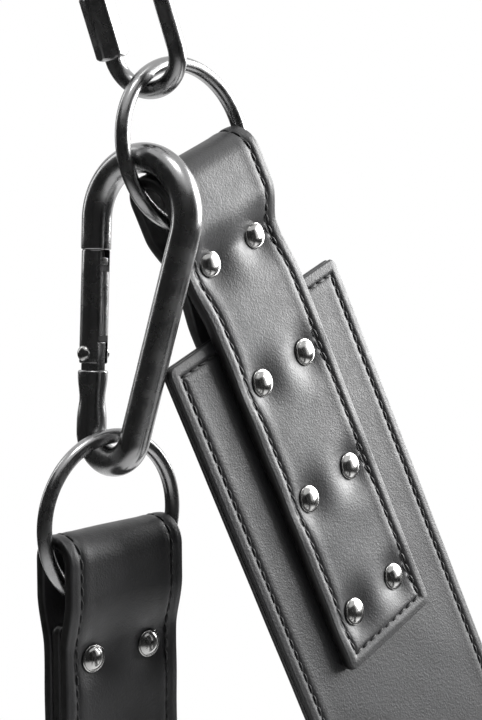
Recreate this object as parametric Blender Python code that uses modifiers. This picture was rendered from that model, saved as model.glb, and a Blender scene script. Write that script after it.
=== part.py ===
"""Belt swing seat: a wide leather belt hangs in a U from two welded rings, each ring from a quick link.

A spring snap hook hangs on each ring and carries a smaller hanger with a foot loop. X runs from one
hanger to the other, Z is up, and the origin lies midway between the two suspension points. Metres.
"""

import math

import bmesh
import bpy
from mathutils import Matrix, Vector

MM = 0.001
GAP = 0.3 * MM

# Leather
LEATHER = 3.8 * MM
PLY = 1.75 * MM
STRAP_WIDTH = 48 * MM
SEAT_WIDTH = 92 * MM
CORNER = 4 * MM

# How the seat hangs: the plane of its U leans, and the belt leaves each ring at an angle to the plumb.
LEAN = math.radians(18.6)
LEAVE = math.radians(12.2)
BELT_RUN = 980 * MM
STRAIGHT_RUN = 200 * MM
BELT_STEPS = 15

# Welded rings. A main ring leans less than the strap below it.
RING_LEAN = math.radians(11)
RING_RADIUS = 27.5 * MM
RING_WIRE = 2.5 * MM
FOLD_BELOW = 3.7 * MM
POCKET_RADIUS = 7.2 * MM

# Rows of rivets, measured down from a ring's centre
ROW_SPACING = 44.1 * MM
RIVET_SPACING = 24 * MM
SEAT_ROWS = 4
SEAT_FIRST_ROW = 37.5 * MM
POCKET_DEPTH = 22 * MM
SEAT_PINCH = (38 * MM, 41 * MM)
SEAT_END = 60.5 * MM
SEAT_STRAP_END = 186.8 * MM
FOOT_ROWS = 3
FOOT_FIRST_ROW = 44 * MM
FOOT_STRAP_END = 149.2 * MM
RIVET_POST = 2.0 * MM
RIVET_HOLE = 2.4 * MM
RIVET_HEAD = 4.8 * MM
RIVET_DOME = 2.2 * MM
RIVET_SIDES = 8

# Quick link
LINK_WIRE = 3 * MM
LINK_BEND = 12.5 * MM
LINK_STRAIGHT = 39 * MM
LINK_GAP = (3 * MM, 15 * MM)
LINK_UP = Vector((0.14, -0.26, 0.955)).normalized()
LINK_TURN = math.radians(10)
LINK_CONTACT = math.radians(-8)
NUT_LENGTH = 22 * MM
NUT_FLATS = 10 * MM
NUT_EDGE = 0.6 * MM

# Snap hook, in its own plane: two arcs joined by tangent sides
HOOK_ROD = 5 * MM
HOOK_TOP_ARC = 19.7 * MM
HOOK_BOTTOM_ARC = 9.9 * MM
HOOK_CENTRES = 70 * MM
HOOK_ACROSS = -19.2 * MM
HOOK_ABOVE = 3.6 * MM
HOOK_SHIFT = 2.5 * MM
HOOK_DOWN = Vector((-0.0735, -0.122, -0.99)).normalized()
NOSE = 9.4 * MM
GATE = (10 * MM, 47.5 * MM)
PIN = 44.2 * MM
HEEL = 50.4 * MM
GATE_RADIUS = 4.7 * MM
SLOT = 4.8 * MM
TONGUE = 4.0 * MM
PIN_RADIUS = 1.5 * MM
TONGUE_DEPTH = 7.4 * MM
NOSE_SIZE = (8 * MM, 6.4 * MM)
SPRING_BORE = (2.6 * MM, 24 * MM)
SPRING_RADIUS = 1.7 * MM
SPRING_WIRE = 0.4 * MM
SPRING_ENDS = (6.4 * MM, 22 * MM)
SPRING_TURNS = 6

# Foot loop
FOOT_TURN = math.radians(6)
FOOT_BELT_TOP = 31.2 * MM
FOOT_JOIN = 240 * MM
FOOT_OVERLAP = 42 * MM
FOOT_LOOP = (118 * MM, 160 * MM)
FOOT_DROP = 0.77
FOOT_PINCH = 40 * MM
FOOT_BELT_NARROWER = 0.6 * MM
RING_CLEARANCE = 1.2 * MM
FOOT_STEPS = 30

SIDES = {"left": -1, "right": 1}
LEAN_DOWN = Vector((0, math.sin(LEAN), -math.cos(LEAN)))
LEAN_ACROSS = Vector((0, math.cos(LEAN), math.sin(LEAN)))

# Cutters
WELD = 0.01 * MM
HEAD_CUT = 8 * MM
STRAP_PUNCH = 40 * MM
BELT_PUNCH = 18 * MM
PLY_PUNCH = 9 * MM
BORE_LENGTH = 30 * MM
SLOT_DEPTH = 20 * MM
HEEL_SLOT = 6 * MM
SLOT_RUN_OUT = 2 * MM
NOSE_SLOT = 9 * MM
NOSE_SLOT_PLACE = 2.5 * MM
RING_CUT = 20 * MM


def clear_scene():
    for thing in list(bpy.data.objects):
        bpy.data.objects.remove(thing)


def make_material(name, colour, roughness, metallic):
    material = bpy.data.materials.new(name)
    material.use_nodes = True
    shader = material.node_tree.nodes["Principled BSDF"]
    shader.inputs["Base Color"].default_value = (*colour, 1)
    shader.inputs["Roughness"].default_value = roughness
    shader.inputs["Metallic"].default_value = metallic
    return material


def make_collection(name):
    collection = bpy.data.collections.new(name)
    bpy.context.scene.collection.children.link(collection)
    return collection


clear_scene()
PARTS = make_collection("belt_swing_seat")
CUTTERS = make_collection("cutters")
BLACK_LEATHER = make_material("black_leather", (0.015, 0.015, 0.016), 0.45, 0.0)
DARK_STEEL = make_material("dark_steel", (0.22, 0.22, 0.23), 0.22, 1.0)
BRIGHT_NICKEL = make_material("bright_nickel", (0.6, 0.6, 0.6), 0.15, 1.0)


def placed(origin, x_axis, y_axis):
    """The matrix of a right-handed frame."""
    x_axis = x_axis.normalized()
    z_axis = x_axis.cross(y_axis).normalized()
    matrix = Matrix((x_axis, z_axis.cross(x_axis), z_axis)).transposed().to_4x4()
    matrix.translation = origin
    return matrix


def add_object(name, mesh, matrix, material):
    thing = bpy.data.objects.new(name, mesh)
    thing.matrix_world = matrix
    if material:
        mesh.materials.clear()
        mesh.materials.append(material)
        PARTS.objects.link(thing)
    else:
        CUTTERS.objects.link(thing)
        thing.hide_render = True
        thing.display_type = "WIRE"
    return thing


def add_pivot(name, matrix, parent=None):
    """An empty on a joint's axis."""
    pivot = bpy.data.objects.new(name, None)
    pivot.empty_display_size = 0.01
    PARTS.objects.link(pivot)
    pivot.matrix_world = matrix
    if parent:
        attach(pivot, parent)
    return pivot


def attach(thing, parent):
    bpy.context.view_layer.update()
    thing.parent = parent
    thing.matrix_parent_inverse = parent.matrix_world.inverted()


def mesh_of(curve, name):
    """The welded mesh of a curve, which a Boolean can cut."""
    thing = bpy.data.objects.new(name, curve)
    bpy.context.scene.collection.objects.link(thing)
    graph = bpy.context.evaluated_depsgraph_get()
    mesh = bpy.data.meshes.new_from_object(thing.evaluated_get(graph))
    bpy.data.objects.remove(thing)
    shape = bmesh.new()
    shape.from_mesh(mesh)
    bmesh.ops.remove_doubles(shape, verts=shape.verts, dist=WELD)
    bmesh.ops.recalc_face_normals(shape, faces=shape.faces)
    shape.to_mesh(mesh)
    shape.free()
    return mesh


def poly_curve(name, points, cyclic):
    curve = bpy.data.curves.new(name, "CURVE")
    spline = curve.splines.new("POLY")
    spline.points.add(len(points) - 1)
    for target, point in zip(spline.points, points):
        target.co = (*point, 1) if len(point) == 3 else (*point, 0, 1)
    spline.use_cyclic_u = cyclic
    return curve


def rod_mesh(name, points, radius, cyclic=False, roundness=2):
    """A round rod along a line of points."""
    curve = poly_curve(name, points, cyclic)
    curve.dimensions = "3D"
    curve.bevel_depth = radius
    curve.bevel_resolution = roundness
    curve.use_fill_caps = not cyclic
    mesh = mesh_of(curve, name)
    mesh.shade_smooth()
    mesh.set_sharp_from_angle(angle=math.radians(50))
    return mesh


def belt_mesh(name, path, thickness, width):
    """A belt that follows a line in its local XY plane and is wide along local Z, with rounded corners."""
    normals = []
    for index in range(len(path)):
        before = path[max(index - 1, 0)]
        after = path[min(index + 1, len(path) - 1)]
        along = (after - before).normalized()
        normals.append(Vector((-along.y, along.x)))
    half = thickness / 2
    above = [point + normal * half for point, normal in zip(path, normals)]
    below = [point - normal * half for point, normal in zip(path, normals)]
    curve = poly_curve(name, above + below[::-1], True)
    curve.dimensions = "2D"
    curve.fill_mode = "BOTH"
    curve.extrude = width / 2
    mesh = mesh_of(curve, name)
    ends = [(above[0], below[0]), (above[-1], below[-1])]
    shape = bmesh.new()
    shape.from_mesh(mesh)
    corners = [edge for edge in shape.edges if is_corner(edge, ends)]
    bmesh.ops.bevel(shape, geom=corners, offset=CORNER, segments=2, profile=0.5, affect="EDGES")
    shape.to_mesh(mesh)
    shape.free()
    return mesh


def is_corner(edge, ends):
    """Whether this edge runs through the belt's thickness at one of its four corners."""
    first, second = (vert.co for vert in edge.verts)
    if abs(first.z - second.z) > WELD:
        return False
    for start, stop in ends:
        for one, other in ((first, second), (second, first)):
            if (one.xy - start).length < WELD and (other.xy - stop).length < WELD:
                return True
    return False


def cylinder_mesh(name, radius, length, sides, rings=()):
    """One or more upright cylinders in one mesh, at the given centres."""
    shape = bmesh.new()
    for matrix in rings or (Matrix(),):
        bmesh.ops.create_cone(
            shape, cap_ends=True, segments=sides, radius1=radius, radius2=radius,
            depth=length, matrix=matrix,
        )
    mesh = bpy.data.meshes.new(name)
    shape.to_mesh(mesh)
    shape.free()
    return mesh


def box_mesh(name, size, matrix=None):
    shape = bmesh.new()
    bmesh.ops.create_cube(shape, size=1, matrix=(matrix or Matrix()) @ Matrix.Diagonal((*size, 1)))
    mesh = bpy.data.meshes.new(name)
    shape.to_mesh(mesh)
    shape.free()
    return mesh


def cut(thing, cutter_mesh, matrix, operation="DIFFERENCE"):
    cutter = add_object(f"{thing.name}_cutter_{len(thing.modifiers)}", cutter_mesh, matrix, None)
    attach(cutter, thing)
    boolean = thing.modifiers.new(operation.lower(), "BOOLEAN")
    boolean.operation = operation
    boolean.object = cutter
    boolean.solver = "EXACT"


def turned_object(name, profile, matrix, material, sides):
    """A solid of revolution about local Z. The profile runs from the top down its outer side."""
    shape = bmesh.new()
    verts = [shape.verts.new((radius, 0, height)) for radius, height in profile]
    for first, second in zip(verts[:-1], verts[1:]):
        shape.edges.new((first, second))
    mesh = bpy.data.meshes.new(name)
    shape.to_mesh(mesh)
    shape.free()
    thing = add_object(name, mesh, matrix, material)
    screw = thing.modifiers.new("turn", "SCREW")
    screw.axis = "Z"
    screw.steps = sides
    screw.render_steps = sides
    screw.use_merge_vertices = True
    screw.merge_threshold = WELD
    screw.use_smooth_shade = True
    return thing


def arc_points(centre, radius, start, stop, steps):
    """Points on an arc, with its angles in degrees."""
    points = []
    for index in range(steps + 1):
        angle = math.radians(start + (stop - start) * index / steps)
        points.append(centre + Vector((math.cos(angle), math.sin(angle))) * radius)
    return points


def eased(start, stop, share):
    """From start to stop with no slope at either end."""
    return start + (stop - start) * share * share * (3 - 2 * share)


def down_leg(stations):
    """Points down one leg of a loop strap: straight runs with eased bends between (half gap, depth) pairs."""
    points = []
    for (half_gap, depth), (next_gap, next_depth) in zip(stations[:-1], stations[1:]):
        steps = 1 if half_gap == next_gap else 5
        for index in range(steps):
            share = index / steps
            points.append(Vector((eased(half_gap, next_gap, share), -(depth + (next_depth - depth) * share))))
    half_gap, depth = stations[-1]
    points.append(Vector((half_gap, -depth)))
    return points


def loop_strap_path(stations):
    """A strap folded over a ring, up one leg and down the other. Y is up, from the ring's centre."""
    leg = down_leg(stations)
    fold = Vector((0, -FOLD_BELOW - POCKET_RADIUS))
    other_leg = [Vector((-point.x, point.y)) for point in leg]
    return leg[::-1] + arc_points(fold, POCKET_RADIUS, 0, 180, 10)[1:-1] + other_leg


def hang_frame(side):
    """At a main ring's centre: X inward off the strap, Y up along it."""
    inward = Vector((-side, 0, 0))
    normal = inward * math.cos(LEAVE) - LEAN_DOWN * math.sin(LEAVE)
    return placed(ring_centre(side), normal, leaned_up(side, LEAVE))


def seat_path():
    """The belt's middle line from one ring's centre to the other's, in X and leaned depth."""
    steps = BELT_STEPS * 2
    run = BELT_RUN / 2 - STRAIGHT_RUN
    point = Vector((math.sin(LEAVE), math.cos(LEAVE))) * STRAIGHT_RUN
    half = [Vector((0, 0)), point.copy()]
    for index in range(steps):
        share = (index + 0.5) / steps
        turned = share - math.sin(math.pi * share) / math.pi
        angle = LEAVE + (math.pi / 2 - LEAVE) * turned
        point += Vector((math.sin(angle), math.cos(angle))) * run / steps
        if index % 2:
            half.append(point.copy())
    return half


SEAT_HALF = seat_path()
HALF_SPAN = SEAT_HALF[-1].x


def leaned_up(side, angle):
    """Up in the plane of the U, and outward by this angle."""
    inward = Vector((-side, 0, 0))
    return -(inward * math.sin(angle) + LEAN_DOWN * math.cos(angle))


def ring_up(side, angle):
    """The direction from a main ring's centre to a point on it, by its angle from the top towards +Y."""
    return LEAN_ACROSS * math.sin(angle) + leaned_up(side, RING_LEAN) * math.cos(angle)


def link_up(side):
    return Vector((LINK_UP.x * side, LINK_UP.y, LINK_UP.z))


def link_contact(side):
    """The middle of the quick link's wire where the main ring hangs on it."""
    top = link_up(side) * (2 * LINK_BEND + LINK_STRAIGHT - LINK_WIRE)
    return Vector((side * CONTACT_X, -top.y, -top.z))


def ring_centre(side):
    return link_contact(side) - ring_up(side, LINK_CONTACT) * LINK_REACH


LINK_REACH = RING_RADIUS - RING_WIRE - LINK_WIRE - 2 * GAP
CONTACT_X = HALF_SPAN + LINK_REACH * ring_up(1, LINK_CONTACT).x
RING_MESH = {}


def add_ring(name, matrix):
    """A welded ring in the local XY plane."""
    if "ring" not in RING_MESH:
        points = [point.to_3d() for point in arc_points(Vector((0, 0)), RING_RADIUS, 0, 350, 35)]
        RING_MESH["ring"] = rod_mesh("welded_ring", points, RING_WIRE, cyclic=True)
    return add_object(name, RING_MESH["ring"].copy(), matrix, DARK_STEEL)


def rivet_places(matrix, depths):
    """Frames with Z along the rivets, two to a row."""
    places = []
    for depth in depths:
        for across in (-RIVET_SPACING / 2, RIVET_SPACING / 2):
            place = Matrix.Translation((0, -depth, across)) @ Matrix.Rotation(math.pi / 2, 4, "Y")
            places.append(matrix @ place)
    return places


def punch(thing, places, length):
    """Rivet holes."""
    inverse = thing.matrix_world.inverted()
    holes = [inverse @ place for place in places]
    mesh = cylinder_mesh(f"{thing.name}_punch", RIVET_HOLE, length, RIVET_SIDES, holes)
    cut(thing, mesh, thing.matrix_world.copy())


def seat_heads(thing, places, stack):
    """Room for the heads of rivets that draw a bulging strap together."""
    inverse = thing.matrix_world.inverted()
    depth = HEAD_CUT
    rings = []
    for place in places:
        for way in (-1, 1):
            rings.append(inverse @ place @ Matrix.Translation((0, 0, way * (stack + depth + GAP) / 2)))
    mesh = cylinder_mesh(f"{thing.name}_seats", RIVET_HEAD + GAP, depth, RIVET_SIDES, rings)
    cut(thing, mesh, thing.matrix_world.copy())


def add_rivet(name, matrix, stack):
    """A double-cap rivet through a stack of leather."""
    face = stack / 2 + GAP
    half = [(0, face + RIVET_DOME), (3.2 * MM, face + 1.7 * MM), (RIVET_HEAD, face + 0.5 * MM)]
    half += [(RIVET_HEAD, face), (RIVET_POST, face)]
    profile = half + [(radius, -height) for radius, height in half[::-1]]
    return turned_object(name, profile, matrix, BRIGHT_NICKEL, RIVET_SIDES)


def add_link(side_name, side):
    up = link_up(side)
    bottom = link_contact(side) + up * LINK_BEND
    inward = Vector((-side * math.cos(LINK_TURN), math.sin(LINK_TURN), 0))
    matrix = placed(bottom, inward - up * inward.dot(up), up)
    zero = Vector((0, 0))
    top = Vector((0, LINK_STRAIGHT))
    points = [Vector((-LINK_BEND, LINK_GAP[0]))] + arc_points(zero, LINK_BEND, 180, 360, 12)
    points += arc_points(top, LINK_BEND, 0, 180, 12) + [Vector((-LINK_BEND, LINK_GAP[1]))]
    mesh = rod_mesh("quick_link", [point.to_3d() for point in points], LINK_WIRE)
    add_object(f"{side_name}_quick_link", mesh, matrix, DARK_STEEL)
    upright = Matrix.Rotation(-math.pi / 2, 4, "X")
    centre = Matrix.Translation((-LINK_BEND, GAP + NUT_LENGTH / 2, 0))
    pivot = add_pivot(f"{side_name}_nut_slide", matrix @ centre @ upright)
    corner = NUT_FLATS / 2 / math.cos(math.pi / 6)
    nut = add_object(
        f"{side_name}_link_nut", cylinder_mesh("link_nut", corner, NUT_LENGTH, 6),
        matrix @ centre @ upright, DARK_STEEL,
    )
    bevel = nut.modifiers.new("edges", "BEVEL")
    bevel.width = NUT_EDGE
    bevel.segments = 1
    cut(nut, cylinder_mesh("nut_bore", LINK_WIRE + GAP, NUT_LENGTH * 2, 12), nut.matrix_world.copy())
    attach(nut, pivot)


def add_seat():
    """The two plies of the wide belt, and the pivot that the seat swings on."""
    pivot = add_pivot("seat_swing", Matrix.Translation(link_contact(-1) * 0.5 + link_contact(1) * 0.5))
    centre = (ring_centre(-1) + ring_centre(1)) / 2
    matrix = placed(centre, Vector((1, 0, 0)), -LEAN_DOWN)
    start = Vector((math.sin(LEAVE), math.cos(LEAVE))) * SEAT_END
    left = [Vector((p.x - HALF_SPAN, -p.y)) for p in [start] + SEAT_HALF[1:]]
    path = left + [Vector((-p.x, p.y)) for p in left[-2::-1]]
    plies = []
    for name, offset in (("seat_belt_inner_ply", 1), ("seat_belt_outer_ply", -1)):
        shifted = shift_path(path, offset * (PLY + GAP) / 2)
        ply = add_object(name, belt_mesh(name, shifted, PLY, SEAT_WIDTH), matrix, BLACK_LEATHER)
        attach(ply, pivot)
        plies.append(ply)
    return pivot, plies


def shift_path(path, distance):
    """The path moved to its left side by this distance."""
    moved = []
    for index, point in enumerate(path):
        along = (path[min(index + 1, len(path) - 1)] - path[max(index - 1, 0)]).normalized()
        moved.append(point + Vector((-along.y, along.x)) * distance)
    return moved


def add_hanger(side_name, side, pivot):
    """A main ring with the strap folded over it and the rivets that hold the belt's end."""
    frame = hang_frame(side)
    ring_plane = placed(ring_centre(side), LEAN_ACROSS, ring_up(side, 0))
    ring = add_ring(f"{side_name}_main_ring", ring_plane)
    attach(ring, pivot)
    stack = 2 * PLY + GAP
    pinched = (LEATHER + GAP) / 2
    spread = (stack + LEATHER) / 2 + GAP
    stations = [
        (POCKET_RADIUS, FOLD_BELOW + POCKET_RADIUS), (POCKET_RADIUS, POCKET_DEPTH),
        (pinched, SEAT_PINCH[0]), (pinched, SEAT_PINCH[1]),
        (spread, SEAT_END - 3 * MM), (spread, SEAT_STRAP_END),
    ]
    mesh = belt_mesh("loop_strap", loop_strap_path(stations), LEATHER, STRAP_WIDTH)
    strap = add_object(f"{side_name}_loop_strap", mesh, frame, BLACK_LEATHER)
    attach(strap, pivot)
    rows = [SEAT_FIRST_ROW + ROW_SPACING * index for index in range(SEAT_ROWS)]
    places = rivet_places(frame, rows)
    punch(strap, places, STRAP_PUNCH)
    pinched_stack = 2 * LEATHER + GAP
    seat_heads(strap, places[:2], pinched_stack)
    for index, place in enumerate(places):
        total = pinched_stack if index < 2 else 2 * spread + LEATHER
        rivet = add_rivet(f"{side_name}_seat_rivet_{index + 1}", place, total)
        attach(rivet, pivot)
    return places[2:]


def hook_outline():
    """The rod's middle line from the nose over the top, down the spine, round the bottom, to the heel."""
    taper = math.asin((HOOK_TOP_ARC - HOOK_BOTTOM_ARC) / HOOK_CENTRES)
    degrees = math.degrees(taper)
    top = Vector((0, 0))
    bottom = Vector((0, -HOOK_CENTRES))
    along = Vector((math.sin(taper), -math.cos(taper)))
    gate_start = Vector((-math.cos(taper), -math.sin(taper))) * HOOK_TOP_ARC
    points = [gate_start + along * NOSE]
    points += arc_points(top, HOOK_TOP_ARC, 180 + degrees, -degrees, 16)
    points += arc_points(bottom, HOOK_BOTTOM_ARC, -degrees, -180 + degrees, 10)
    points += [gate_start + along * HEEL]
    return points, gate_start, along


def hook_frame(side):
    """X towards the spine, Y up, at the centre of the top arc."""
    down = Vector((HOOK_DOWN.x * -side, HOOK_DOWN.y, HOOK_DOWN.z))
    inward = Vector((-side, 0, 0))
    on_ring = ring_centre(side) + LEAN_ACROSS * HOOK_ACROSS + ring_up(side, 0) * HOOK_ABOVE
    crossing = on_ring + inward * HOOK_SHIFT
    across = inward - down * inward.dot(down)
    return placed(crossing + down * HOOK_TOP_ARC, across, -down), crossing


def gate_frame(hook_matrix, gate_start, along, distance):
    """On the gate's line: X along it, downwards, and Z across the hook."""
    centre = gate_start + along * distance
    local = placed(centre.to_3d(), along.to_3d(), Vector((-along.y, along.x, 0)))
    return hook_matrix @ local


def add_hook(side_name, side, seat_pivot):
    matrix, crossing = hook_frame(side)
    swing = add_pivot(f"{side_name}_hook_swing", Matrix.Translation(crossing), seat_pivot)
    points, gate_start, along = hook_outline()
    mesh = rod_mesh("snap_hook", [point.to_3d() for point in points], HOOK_ROD)
    hook = add_object(f"{side_name}_snap_hook", mesh, matrix, DARK_STEEL)
    attach(hook, swing)
    pin_place = gate_frame(matrix, gate_start, along, PIN)
    tongue_start = PIN - 3.6 * MM
    tongue_stop = HEEL + 2 * MM
    cut(
        hook, box_mesh("tongue", (tongue_stop - tongue_start, TONGUE_DEPTH, TONGUE)),
        gate_frame(matrix, gate_start, along, (tongue_start + tongue_stop) / 2), "UNION",
    )
    cut(
        hook, box_mesh("nose", (*NOSE_SIZE, TONGUE - GAP)),
        gate_frame(matrix, gate_start, along, NOSE + 2 * MM), "UNION",
    )
    cut(hook, cylinder_mesh("hook_bore", PIN_RADIUS + GAP, BORE_LENGTH, 10), pin_place)
    turn = add_pivot(f"{side_name}_gate_turn", pin_place, swing)
    length = GATE[1] - GATE[0]
    middle = gate_frame(matrix, gate_start, along, (GATE[0] + GATE[1]) / 2)
    lie = Matrix.Rotation(math.pi / 2, 4, "Y")
    gate = add_object(
        f"{side_name}_gate", cylinder_mesh("gate", GATE_RADIUS, length, 14), middle @ lie, DARK_STEEL
    )
    lower_slot = (GATE[1] + PIN - HEEL_SLOT) / 2
    slot_size = GATE[1] - PIN + HEEL_SLOT + SLOT_RUN_OUT
    cut(
        gate, box_mesh("heel_slot", (slot_size, SLOT_DEPTH, SLOT)),
        gate_frame(matrix, gate_start, along, lower_slot + MM),
    )
    cut(
        gate, box_mesh("nose_slot", (NOSE_SLOT, SLOT_DEPTH, SLOT - GAP)),
        gate_frame(matrix, gate_start, along, GATE[0] + NOSE_SLOT_PLACE),
    )
    bore_radius, bore = SPRING_BORE
    cut(
        gate, cylinder_mesh("spring_bore", bore_radius, bore, 10),
        gate_frame(matrix, gate_start, along, PIN - bore / 2 - MM) @ lie,
    )
    cut(gate, cylinder_mesh("gate_bore", PIN_RADIUS + GAP, BORE_LENGTH, 10), pin_place)
    attach(gate, turn)
    head = GATE_RADIUS + GAP
    half = [(0, head + 1.2 * MM), (1.6 * MM, head + 1.0 * MM), (2.5 * MM, head + 0.4 * MM)]
    half += [(2.5 * MM, head), (PIN_RADIUS, head)]
    profile = half + [(radius, -height) for radius, height in half[::-1]]
    pin = turned_object(f"{side_name}_gate_pin", profile, pin_place, DARK_STEEL, 10)
    attach(pin, swing)
    spring = add_spring(f"{side_name}_gate_spring", gate_frame(matrix, gate_start, along, PIN) @ lie)
    attach(spring, turn)
    return matrix, swing


def add_spring(name, matrix):
    """The gate's small compression spring. It lies above the tongue, inside the gate."""
    steps = 8
    bottom, top = SPRING_ENDS
    points = []
    for index in range(SPRING_TURNS * steps + 1):
        angle = 2 * math.pi * index / steps
        height = bottom + (top - bottom) * index / (SPRING_TURNS * steps)
        points.append(Vector((SPRING_RADIUS * math.cos(angle), SPRING_RADIUS * math.sin(angle), -height)))
    mesh = rod_mesh("gate_spring", points, SPRING_WIRE, roundness=0)
    return add_object(name, mesh, matrix, BRIGHT_NICKEL)


def foot_frame(hook_matrix, side):
    """At the lower ring's centre: X inward off the strap, Y up."""
    rod = hook_matrix @ Vector((0, -HOOK_CENTRES - HOOK_BOTTOM_ARC, 0))
    top_of_ring = rod + Vector((0, 0, HOOK_ROD + RING_WIRE + 2 * GAP))
    centre = top_of_ring - Vector((0, 0, RING_RADIUS))
    inward = Vector((-side * math.cos(FOOT_TURN), -math.sin(FOOT_TURN), 0))
    return placed(centre, inward, Vector((0, 0, 1))), rod


def foot_belt_path():
    """Down from between the strap's legs, round a drop-shaped loop and up behind itself."""
    width, height = FOOT_LOOP
    behind = LEATHER + GAP
    path = [Vector((0, -FOOT_BELT_TOP)), Vector((0, -FOOT_JOIN))]
    for index in range(1, FOOT_STEPS):
        share = index / FOOT_STEPS
        angle = 2 * math.pi * share
        out = FOOT_DROP * width * math.sin(angle) * math.sin(angle / 2) ** 2
        back = eased(0, behind, share)
        path.append(Vector((out - back, -FOOT_JOIN - height * (1 - math.cos(angle)) / 2)))
    path += [Vector((-behind, -FOOT_JOIN)), Vector((-behind, -FOOT_JOIN + FOOT_OVERLAP))]
    return path


def add_foot_loop(side_name, side, hook_matrix, hook_swing):
    frame, rod = foot_frame(hook_matrix, side)
    ring_swing = add_pivot(f"{side_name}_lower_ring_swing", Matrix.Translation(rod), hook_swing)
    ring_plane = placed(frame.translation, frame.col[2].to_3d(), Vector((0, 0, 1)))
    ring = add_ring(f"{side_name}_lower_ring", ring_plane)
    attach(ring, ring_swing)
    fold = frame @ Vector((0, -FOLD_BELOW - POCKET_RADIUS, 0))
    strap_swing = add_pivot(f"{side_name}_foot_swing", Matrix.Translation(fold), ring_swing)
    spread = LEATHER + GAP
    stations = [
        (POCKET_RADIUS, FOLD_BELOW + POCKET_RADIUS), (POCKET_RADIUS, POCKET_DEPTH),
        (spread, FOOT_PINCH), (spread, FOOT_STRAP_END),
    ]
    mesh = belt_mesh("foot_loop_strap", loop_strap_path(stations), LEATHER, STRAP_WIDTH)
    strap = add_object(f"{side_name}_foot_loop_strap", mesh, frame, BLACK_LEATHER)
    rows = [FOOT_FIRST_ROW + ROW_SPACING * index for index in range(FOOT_ROWS)]
    places = rivet_places(frame, rows)
    punch(strap, places, STRAP_PUNCH)
    mesh = belt_mesh("foot_belt", foot_belt_path(), LEATHER, STRAP_WIDTH - FOOT_BELT_NARROWER)
    belt = add_object(f"{side_name}_foot_belt", mesh, frame, BLACK_LEATHER)
    shift = Matrix.Translation((-(LEATHER + GAP) / 2, 0, 0))
    join = rivet_places(frame @ shift, [FOOT_JOIN - FOOT_OVERLAP / 2])
    punch(belt, places + join, BELT_PUNCH)
    clear = RING_RADIUS + RING_WIRE + RING_CLEARANCE
    cut(belt, cylinder_mesh("ring_clearance", clear, RING_CUT, 40), ring_plane)
    attach(strap, strap_swing)
    attach(belt, strap_swing)
    for index, place in enumerate(places):
        rivet = add_rivet(f"{side_name}_foot_rivet_{index + 1}", place, 2 * spread + LEATHER)
        attach(rivet, strap_swing)
    for index, place in enumerate(join):
        rivet = add_rivet(f"{side_name}_join_rivet_{index + 1}", place, 2 * LEATHER + GAP)
        attach(rivet, strap_swing)


def build():
    seat_pivot, plies = add_seat()
    places = []
    for side_name, side in SIDES.items():
        add_link(side_name, side)
        places += add_hanger(side_name, side, seat_pivot)
        hook_matrix, hook_swing = add_hook(side_name, side, seat_pivot)
        add_foot_loop(side_name, side, hook_matrix, hook_swing)
    for ply in plies:
        punch(ply, places, PLY_PUNCH)


build()
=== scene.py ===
"""The looks of the belt swing seat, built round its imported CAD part, with a studio and a camera."""

import math

import bmesh
import bpy
import numpy as np
from mathutils import Matrix, Vector


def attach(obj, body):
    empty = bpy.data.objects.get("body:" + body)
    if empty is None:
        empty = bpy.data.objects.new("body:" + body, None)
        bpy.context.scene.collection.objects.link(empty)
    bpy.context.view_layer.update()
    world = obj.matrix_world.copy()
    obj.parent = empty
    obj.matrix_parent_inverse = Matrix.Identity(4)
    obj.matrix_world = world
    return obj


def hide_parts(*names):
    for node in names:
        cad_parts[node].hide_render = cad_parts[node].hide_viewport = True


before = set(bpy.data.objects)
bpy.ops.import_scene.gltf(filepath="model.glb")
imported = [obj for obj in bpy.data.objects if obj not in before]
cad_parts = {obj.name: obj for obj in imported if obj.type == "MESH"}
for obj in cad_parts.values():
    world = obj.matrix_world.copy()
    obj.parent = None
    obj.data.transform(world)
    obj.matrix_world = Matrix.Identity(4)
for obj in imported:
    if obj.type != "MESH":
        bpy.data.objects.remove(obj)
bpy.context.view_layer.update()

MM = 0.001
GAP = 0.3 * MM
SIDES = {"left": -1, "right": 1}

# The CAD part's own dimensions
LEATHER = 3.8 * MM
PLY = 1.75 * MM
STRAP_WIDTH = 48 * MM
SEAT_WIDTH = 92 * MM
LEAN = math.radians(18.6)
LEAVE = math.radians(12.2)
RING_LEAN = math.radians(11)
BELT_RUN = 980 * MM
STRAIGHT_RUN = 200 * MM
RING_RADIUS = 27.5 * MM
RING_WIRE = 2.5 * MM
FOLD_BELOW = 3.7 * MM
POCKET_RADIUS = 7.2 * MM
POCKET_DEPTH = 22 * MM
ROW_SPACING = 44.1 * MM
RIVET_SPACING = 24 * MM
SEAT_FIRST_ROW = 37.5 * MM
SEAT_PINCH = (38 * MM, 41 * MM)
SEAT_END = 60.5 * MM
SEAT_STRAP_END = 186.8 * MM
FOOT_FIRST_ROW = 44 * MM
FOOT_STRAP_END = 149.2 * MM
FOOT_PINCH = 40 * MM
LINK_WIRE = 3 * MM
LINK_BEND = 12.5 * MM
LINK_STRAIGHT = 39 * MM
LINK_GAP = (3 * MM, 15 * MM)
LINK_UP = Vector((0.14, -0.26, 0.955)).normalized()
LINK_TURN = math.radians(10)
LINK_CONTACT = math.radians(-8)
NUT_LENGTH = 22 * MM
NUT_FLATS = 10 * MM
HOOK_ROD = 5 * MM
HOOK_TOP_ARC = 19.7 * MM
HOOK_BOTTOM_ARC = 9.9 * MM
HOOK_CENTRES = 70 * MM
HOOK_ACROSS = -19.2 * MM
HOOK_ABOVE = 3.6 * MM
HOOK_SHIFT = 2.5 * MM
HOOK_DOWN = Vector((-0.0735, -0.122, -0.99)).normalized()
NOSE = 9.4 * MM
GATE = (10 * MM, 47.5 * MM)
PIN = 44.2 * MM
HEEL = 50.4 * MM
GATE_RADIUS = 4.7 * MM
SLOT = 4.8 * MM
TONGUE = 4.0 * MM
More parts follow.
